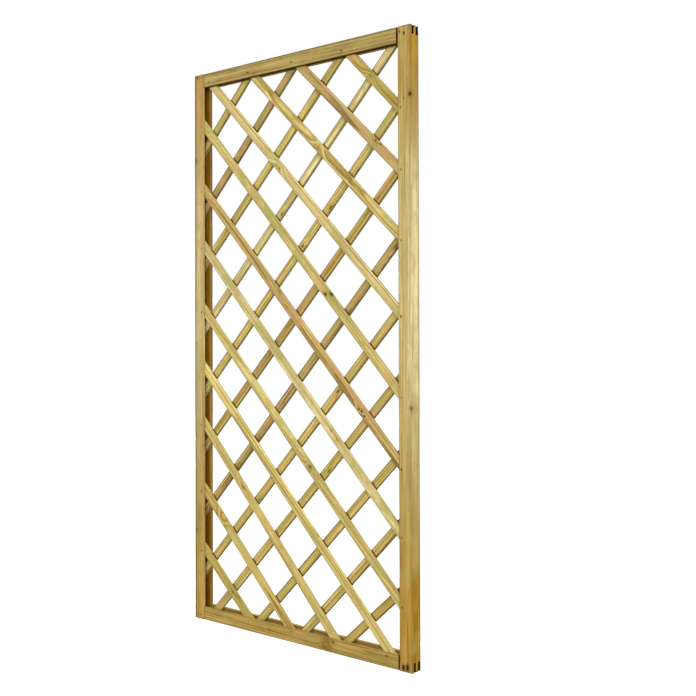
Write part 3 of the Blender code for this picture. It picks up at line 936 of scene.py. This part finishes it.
def pine_group():
    """Planed pine: its colour, roughness and height from rings, fibres, stains and the masks given."""
    ring_sizes = ("Seed", "Ring Width", "Swell", "Waver", "Waver Pace")
    strengths = ("Lines", "Moss", "Blush", "Golden", "Pale")
    masks = ("Core", "Halo", "Dirt", "Stain", "Inner", "Covered", "End")
    inputs = {
        "Vector": ("Vector", "Pith", "Drift"),
        "Color": ("Early", "Late", "End Shade"),
        "Float": ring_sizes + strengths + masks,
    }
    outputs = {"Color": ("Color",), "Float": ("Roughness", "Height")}
    tree, given, result = new_group("planed pine", inputs, outputs)
    shifted = vectors(tree, "ADD", given["Vector"], scaled(tree, SEED_STEP, given["Seed"]))
    spots = {label: noise(tree, shifted, *paces)[0] for label, paces in WOOD_NOISES.items()}
    late, spots["ring"] = growth_rings(tree, given, shifted)
    marks = {label: rise(tree, spots[source], *edge) for label, (source, edge) in MARKS.items()}

    tone = 1.0
    for label, span in TONE_SPANS.items():
        tone = times(tree, tone, spread(tree, spots[label], *span))
    blue = maths(tree, "POWER", tone, BLUE_TONE_POWER)
    tone_colour = put(tree, "CombineColor", {0: tone, 1: tone, 2: blue}).outputs[0]

    dark_speck = maths(tree, "MAXIMUM", marks["speck"], marks["dash"])
    drip = times(tree, given["Inner"], marks["drip"])
    # Dirt and painted shade on the arrises, made uneven by noise
    dirt = times(tree, given["Dirt"], spread(tree, spots["broad"], *DIRT_AND_SHADE_SPAN))
    # Painted shadow beside what crosses a slat, made uneven by noise
    crease = times(tree, rise(tree, given["Covered"], CREASE_REACH, 0.0), CREASE_STRENGTH)
    crease = times(tree, crease, spread(tree, spots["speck"], *CREASE_SPAN))
    # Of these layers, the inner side's is painted shade and the crease's painted shadow; the end's, the
    # dirt's and the stain's are partly painted shade
    layers = (
        (times(tree, late, given["Lines"]), given["Late"]),
        (given["Pale"], screen(PALE)),
        (given["Golden"], screen(GOLDEN)),
        (1.0, tone_colour, "MULTIPLY"),
        (times(tree, marks["moss"], given["Moss"]), screen(MOSS)),
        (times(tree, marks["blush"], given["Blush"]), screen(BLUSH)),
        (times(tree, dark_speck, SPECK_STRENGTH), screen(KNOT_HALO)),
        (times(tree, given["Halo"], HALO_STRENGTH), screen(KNOT_HALO)),
        (times(tree, given["Core"], CORE_STRENGTH), screen(KNOT_CORE)),
        (given["Inner"], screen(INNER_PAINTED_SHADE), "MULTIPLY"),
        (times(tree, drip, DRIP_STRENGTH), screen(STAIN_AND_SHADE)),
        (given["End"], given["End Shade"], "MULTIPLY"),
        (dirt, screen(DIRT_AND_PAINTED_SHADE), "MULTIPLY"),
        (crease, screen(CREASE_PAINTED_SHADOW), "MULTIPLY"),
        (times(tree, given["Stain"], STAIN_AND_SHADE_STRENGTH), screen(STAIN_AND_SHADE)),
    )
    colour = given["Early"]
    for share, shade, *how in layers:
        colour = blend(tree, share, colour, shade, *how)

    rough = spread(tree, spots["streak"], *ROUGHNESS_SPAN)
    rough = maths(tree, "ADD", rough, times(tree, given["End"], END_ROUGHNESS))
    rough = maths(tree, "SUBTRACT", rough, times(tree, given["Core"], CORE_POLISH))
    ridges = times(tree, late, RIDGE_HEIGHT)
    height = maths(tree, "ADD", ridges, times(tree, spots["fibre"], FIBRE_HEIGHT))
    height = maths(tree, "ADD", height, times(tree, given["Core"], CORE_HEIGHT))
    fill(tree, result, {"Color": colour, "Roughness": rough, "Height": height})
    return tree


def slot_painted_shade(tree, own, timber):
    """Painted shade: 1 on the walls of a stile's open slots, which lie between the tenons' faces at both
    ends.
    """
    inwards, along = part(tree, own, "Y"), part(tree, own, "Z")
    in_slot = 0.0
    for front, back in TENON_SPANS:
        away = maths(tree, "ABSOLUTE", maths(tree, "SUBTRACT", inwards, (front + back) / 2))
        within = maths(tree, "LESS_THAN", away, (back - front) / 2 + 2 * JOINT_CLEARANCE)
        in_slot = maths(tree, "MAXIMUM", in_slot, within)
    tenon = FRAME_FACE - GROOVE_DEPTH + 2 * JOINT_CLEARANCE
    near_foot = maths(tree, "LESS_THAN", along, tenon)
    near_head = maths(tree, "GREATER_THAN", along, timber.length - tenon)
    return times(tree, in_slot, maths(tree, "MAXIMUM", near_foot, near_head))


def shoulder_painted_shade(tree, own, end, timber):
    """Painted shade: 1 on the sawn shoulders of a rail, which are end grain but not the ends of its tenons.
    """
    from_middle = maths(tree, "SUBTRACT", part(tree, own, "Z"), timber.length / 2)
    from_middle = maths(tree, "ABSOLUTE", from_middle)
    within = maths(tree, "LESS_THAN", from_middle, timber.length / 2 - FRAME_FACE / 2)
    return times(tree, end, within)


def stile_masks(tree, place, own, name):
    """How golden brown and how pale a stile is, by its height and by the side that a point lies on."""
    height = part(tree, place, "Z")
    across = part(tree, own, "X")
    outer = rise(tree, across, FRAME_ARRIS, FRAME_ARRIS / 2)
    foot_tone, head_tone, pale_tone = (spread(tree, outer, *tone) for tone in STILE_TONES[name])
    foot = times(tree, rise(tree, height, *FOOT_SPAN), foot_tone)
    if name == SHARP_FOOT:
        foot = maths(tree, "MAXIMUM", foot, times(tree, rise(tree, height, *SHARP_FOOT_SPAN), outer))
    head = times(tree, rise(tree, height, *HEAD_SPAN), head_tone)
    middle, reach = PALE_PLACE
    away = maths(tree, "DIVIDE", maths(tree, "SUBTRACT", height, middle), reach)
    bell = maths(tree, "EXPONENT", times(tree, times(tree, away, away), -1.0))
    bell = times(tree, bell, spread(tree, rise(tree, across, FRAME_FACE, 0.0), PALE_INNER_SHARE, 1.0))
    return maths(tree, "MAXIMUM", foot, head), times(tree, bell, pale_tone)


def knot_at(tree, own, timber, place, radius, swirl, knot_tree):
    """The core, halo and swell of a knot at a point of the panel's face."""
    across, along = timber.from_panel(cad_low.x + place[0], place[1])
    given = {"Vector": own, "Centre": (across, 0, along), "Radius": radius, "Swirl": swirl}
    return put(tree, "Group", given, node_tree=knot_tree).outputs


def pine_finish(timber, wood, seed, groups):
    """A timber's own wood: its tone, its place in the log, its knots and its patches of green and pink."""
    tone, lightness, lines, moss, blush = wood
    kind = timber.name.split("_")[1]
    rng = np.random.default_rng(seed)
    material, tree, shader = new_material(timber.name + "_pine")
    coordinates = put(tree, "TexCoord").outputs
    turned = {"Vector": coordinates["Object"], "Location": timber.origin, "Rotation": (0, timber.turn, 0)}
    own = put(tree, "Mapping", turned, vector_type="TEXTURE").outputs[0]

    swell = core = halo = 0.0
    for place_x, place_z, radius, darkness, swirl in KNOTS.get(timber.name, ()):
        knot = knot_at(tree, own, timber, (place_x, place_z), radius, swirl, groups["knot"])
        swell = maths(tree, "ADD", swell, knot["Swell"])
        core = maths(tree, "MAXIMUM", core, times(tree, knot["Core"], darkness))
        halo = maths(tree, "MAXIMUM", halo, times(tree, knot["Halo"], HALO_LEAST + HALO_GAIN * darkness))
    for place_x, place_z, radius, darkness in BROWN_PATCHES.get(timber.name, ()):
        patch = knot_at(tree, own, timber, (place_x, place_z), radius, 0.0, groups["knot"])
        halo = maths(tree, "MAXIMUM", halo, times(tree, patch["Halo"], darkness))

    angle = rng.uniform(0, 2 * np.pi)
    reach = rng.uniform(*PITH_REACH)
    drift = rng.uniform(-PITH_DRIFT, PITH_DRIFT, 2)
    end = vectors(tree, "DOT_PRODUCT", coordinates["Normal"], (timber.along[0], 0, timber.along[1]))
    end = rise(tree, maths(tree, "ABSOLUTE", end), *END_GRAIN_EDGE)
    early, late = (screen(lightness * np.array(shade)) for shade in TONES[tone])
    waver, waver_pace = WILD_WAVER.get(timber.name, RING_WAVER)
    labels = ("Dirt", "Stain", "Inner", "Covered")
    masks = {label: put(tree, "Attribute", attribute_name=label.lower()).outputs["Fac"] for label in labels}
    golden = pale = 0.0
    # Painted shade on the walls of a stile's slots and on a rail's sawn shoulders joins the stain mask
    if kind == "stile":
        masks["Stain"] = maths(tree, "MAXIMUM", masks["Stain"], slot_painted_shade(tree, own, timber))
        golden, pale = stile_masks(tree, coordinates["Object"], own, timber.name)
    if kind == "rail":
        masks["Stain"] = maths(tree, "MAXIMUM", masks["Stain"], shoulder_painted_shade(tree, own, end, timber))
    values = {
        "Vector": own,
        "Seed": float(seed),
        "Early": early,
        "Late": late,
        "Pith": (reach * math.cos(angle), reach * math.sin(angle), 0),
        "Drift": (drift[0], drift[1], 0),
        "Ring Width": rng.uniform(*RING_WIDTHS),
        "Swell": swell,
        "Waver": waver,
        "Waver Pace": waver_pace,
        "Core": core,
        "Halo": halo,
        "Lines": lines,
        "Moss": moss,
        "Blush": blush,
        "Golden": golden,
        "Pale": pale,
        "End": end,
        "End Shade": screen(END_SHADE[timber.name if timber.name in END_SHADE else kind]),
    }
    pine = put(tree, "Group", {**values, **masks}, node_tree=groups["pine"]).outputs
    looks = {
        "Base Color": pine["Color"],
        "Roughness": pine["Roughness"],
        "Normal": put(tree, "Bump", {"Height": pine["Height"], **WOOD_BUMP}).outputs[0],
        "Specular IOR Level": WOOD_GLOSS,
    }
    fill(tree, shader, looks)
    return material


def iron_finish(name, rusted):
    """Dull wire, brown in patches a little smaller than a head where it has begun to rust."""
    material, tree, shader = new_material(name)
    patch, _ = noise(tree, put(tree, "TexCoord").outputs["Object"], RUST_NOISE)
    rust = rise(tree, patch, *(edge - RUST_SHIFT * rusted for edge in RUST_EDGE))
    looks = {
        "Base Color": blend(tree, rust, screen(IRON), screen(RUST)),
        "Roughness": spread(tree, rust, *IRON_ROUGHNESS),
        "Metallic": spread(tree, rust, *IRON_METAL),
        "Normal": put(tree, "Bump", {"Height": patch, **IRON_BUMP}).outputs[0],
        "Specular IOR Level": IRON_GLOSS,
    }
    fill(tree, shader, looks)
    return material


def add_piece(name, mesh, material, replaced):
    """Put a finished piece in its node's place, on the panel's one body."""
    piece = new_object(name, mesh)
    piece.data.materials.append(material)
    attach(piece, "root")
    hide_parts(replaced)
    return piece


def smooth(mesh):
    """Shade round what is round, and keep the sharp edges sharp."""
    mesh.shade_smooth()
    mesh.set_sharp_from_angle(angle=math.radians(SHARP_ANGLE))


def head_stain(name):
    """How dark and how large the staining round a brad's or a nail's head is."""
    kind, *place, number = name.split("_")
    if kind == "pin":
        return PIN_STAINS[place[0]][int(number) - 1], 1.0
    return NAIL_STAINS["_".join(place)][int(number) - 1]


def head_places(timber):
    """Where heads lie in a frame timber's front, by its own x and z, with their craters and stains."""
    craters = []
    node_low, node_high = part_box(timber.name)
    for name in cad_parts:
        kind = name.split("_")[0]
        if kind not in ("pin", "nail"):
            continue
        low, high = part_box(name)
        middle = (low + high) / 2
        if node_low.x < middle.x < node_high.x and node_low.z < middle.z < node_high.z:
            x, z = timber.from_panel(middle.x, middle.z)
            crater, reach = HEADS[kind][3:]
            darkness, size = head_stain(name)
            craters.append((x, z, crater, (size * reach[0], size * reach[1]), darkness))
    return craters


def make_frame(timbers, groups):
    """The two stiles with their slots and the two rails with their tenons."""
    for seed, (name, timber) in enumerate(timbers.items(), start=FIRST_SEEDS["frame"]):
        craters = head_places(timber)
        if name.endswith("rail"):
            craters = [crater for crater in craters if FRAME_FACE < crater[1] < timber.length - FRAME_FACE]
        mesh = frame_mesh(timber, craters, seed)
        finish = pine_finish(timber, FRAME_WOOD[name], seed, groups)
        piece = add_piece(name + "_planed", mesh, finish, name)
        cuts = (slot_boxes(name),) if name.endswith("stile") else waste_boxes(name, name == "top_rail")
        for boxes in cuts:
            cut_boxes(piece, boxes)
        smooth(piece.data)


def slat_layer(layer, woods):
    """One layer's slats."""
    return [slat_timber(f"{layer}_slat_{number + 1:02d}") for number in range(len(woods))]


def make_slats(timbers, woods, others, layer, groups):
    """One layer of slats, trimmed where their solids are, with painted shadow beside the slats that cross
    it.
    """
    corners = np.concatenate([read(timber.name, "vertices", "co", 3) for timber in timbers])[:, ::2]
    limits = (corners.min(axis=0), corners.max(axis=0))
    for seed, (timber, wood) in enumerate(zip(timbers, woods), start=FIRST_SEEDS[layer]):
        mesh = slat_mesh(timber, limits, others, seed)
        smooth(mesh)
        finish = pine_finish(timber, wood, seed, groups)
        add_piece(timber.name + "_planed", mesh, finish, timber.name)


def make_fixings():
    """The brads and nails, with rounder heads than their solids have."""
    dark_iron, rusty_iron = (iron_finish(name, rusted) for name, rusted in RUSTED.items())
    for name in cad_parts:
        kind = name.split("_")[0]
        if kind in HEADS:
            mesh = head_mesh(name, kind)
            smooth(mesh)
            finish = rusty_iron if head_stain(name)[0] < RUSTY_BELOW else dark_iron
            add_piece(name + "_turned", mesh, finish, name)


def make_floor():
    """A pale floor that the camera sees as white, and on which the panel still casts its shadow."""
    half = FLOOR_SIDE / 2
    mesh = bpy.data.meshes.new("floor")
    corners = [(-half, -half, 0), (half, -half, 0), (half, half, 0), (-half, half, 0)]
    mesh.from_pydata(corners, [], [(0, 1, 2, 3)])
    material, tree, shader = new_material("pale_floor")
    seen = put(tree, "LightPath").outputs["Is Camera Ray"]
    looks = {
        "Base Color": screen(FLOOR_COLOUR),
        "Roughness": FLOOR_ROUGHNESS,
        "Specular IOR Level": 0.0,
        "Emission Color": (1, 1, 1, 1),
        "Emission Strength": times(tree, seen, FLOOR_LIFT),
    }
    fill(tree, shader, looks)
    mesh.materials.append(material)
    floor = new_object("floor", mesh)


def make_light():
    """An even white sky, which the camera and the gloss see as plain white, and two wide soft lamps."""
    world = bpy.data.worlds.new("sky")
    world.use_nodes = True
    bpy.context.scene.world = world
    tree = world.node_tree
    path = put(tree, "LightPath").outputs
    seen = maths(tree, "MAXIMUM", path["Is Camera Ray"], path["Is Glossy Ray"])
    seen = maths(tree, "MAXIMUM", seen, path["Is Transmission Ray"])
    sky = {"Color": (1, 1, 1, 1), "Strength": spread(tree, seen, SKY_STRENGTH, 1.0)}
    fill(tree, tree.nodes["Background"], sky)
    for name, (strength, way, width) in LAMPS.items():
        lamp = bpy.data.lights.new(name, "SUN")
        lamp.energy = strength
        lamp.angle = math.radians(width)
        sun = new_object(name, lamp)
        sun.rotation_euler = Vector(way).to_track_quat("Z", "Y").to_euler()


def make_camera():
    """The camera of the photograph: turned to the left of straight ahead, a little up, and rolled."""
    turn, tilt, roll = (math.radians(angle) for angle in (CAMERA_TURN, CAMERA_TILT, CAMERA_ROLL))
    ahead = Vector((-math.sin(turn) * math.cos(tilt), math.cos(turn) * math.cos(tilt), math.sin(tilt)))
    level = Vector((math.cos(turn), math.sin(turn), 0))
    upright = level.cross(ahead)
    right = level * math.cos(roll) - upright * math.sin(roll)
    up = level * math.sin(roll) + upright * math.cos(roll)
    data = bpy.data.cameras.new("camera")
    data.sensor_width = SENSOR_WIDTH
    data.lens = SENSOR_WIDTH * FOCAL_PIXELS / IMAGE_SIDE
    data.shift_y = (AXIS_BELOW_TOP - IMAGE_SIDE / 2) / IMAGE_SIDE
    camera = new_object("camera", data)
    camera.matrix_world = Matrix((right, up, -ahead)).transposed().to_4x4()
    camera.location = CAMERA_PLACE
    bpy.context.scene.camera = camera


bpy.context.scene.view_settings.view_transform = "Standard"
make_camera()
make_light()
make_floor()
grain = {"knot": knot_group(), "pine": pine_group()}
make_frame(frame_timbers(), grain)
front_slats = slat_layer("front", FRONT_WOOD)
back_slats = slat_layer("back", BACK_WOOD)
make_slats(front_slats, FRONT_WOOD, back_slats, "front", grain)
make_slats(back_slats, BACK_WOOD, front_slats, "back", grain)
make_fixings()
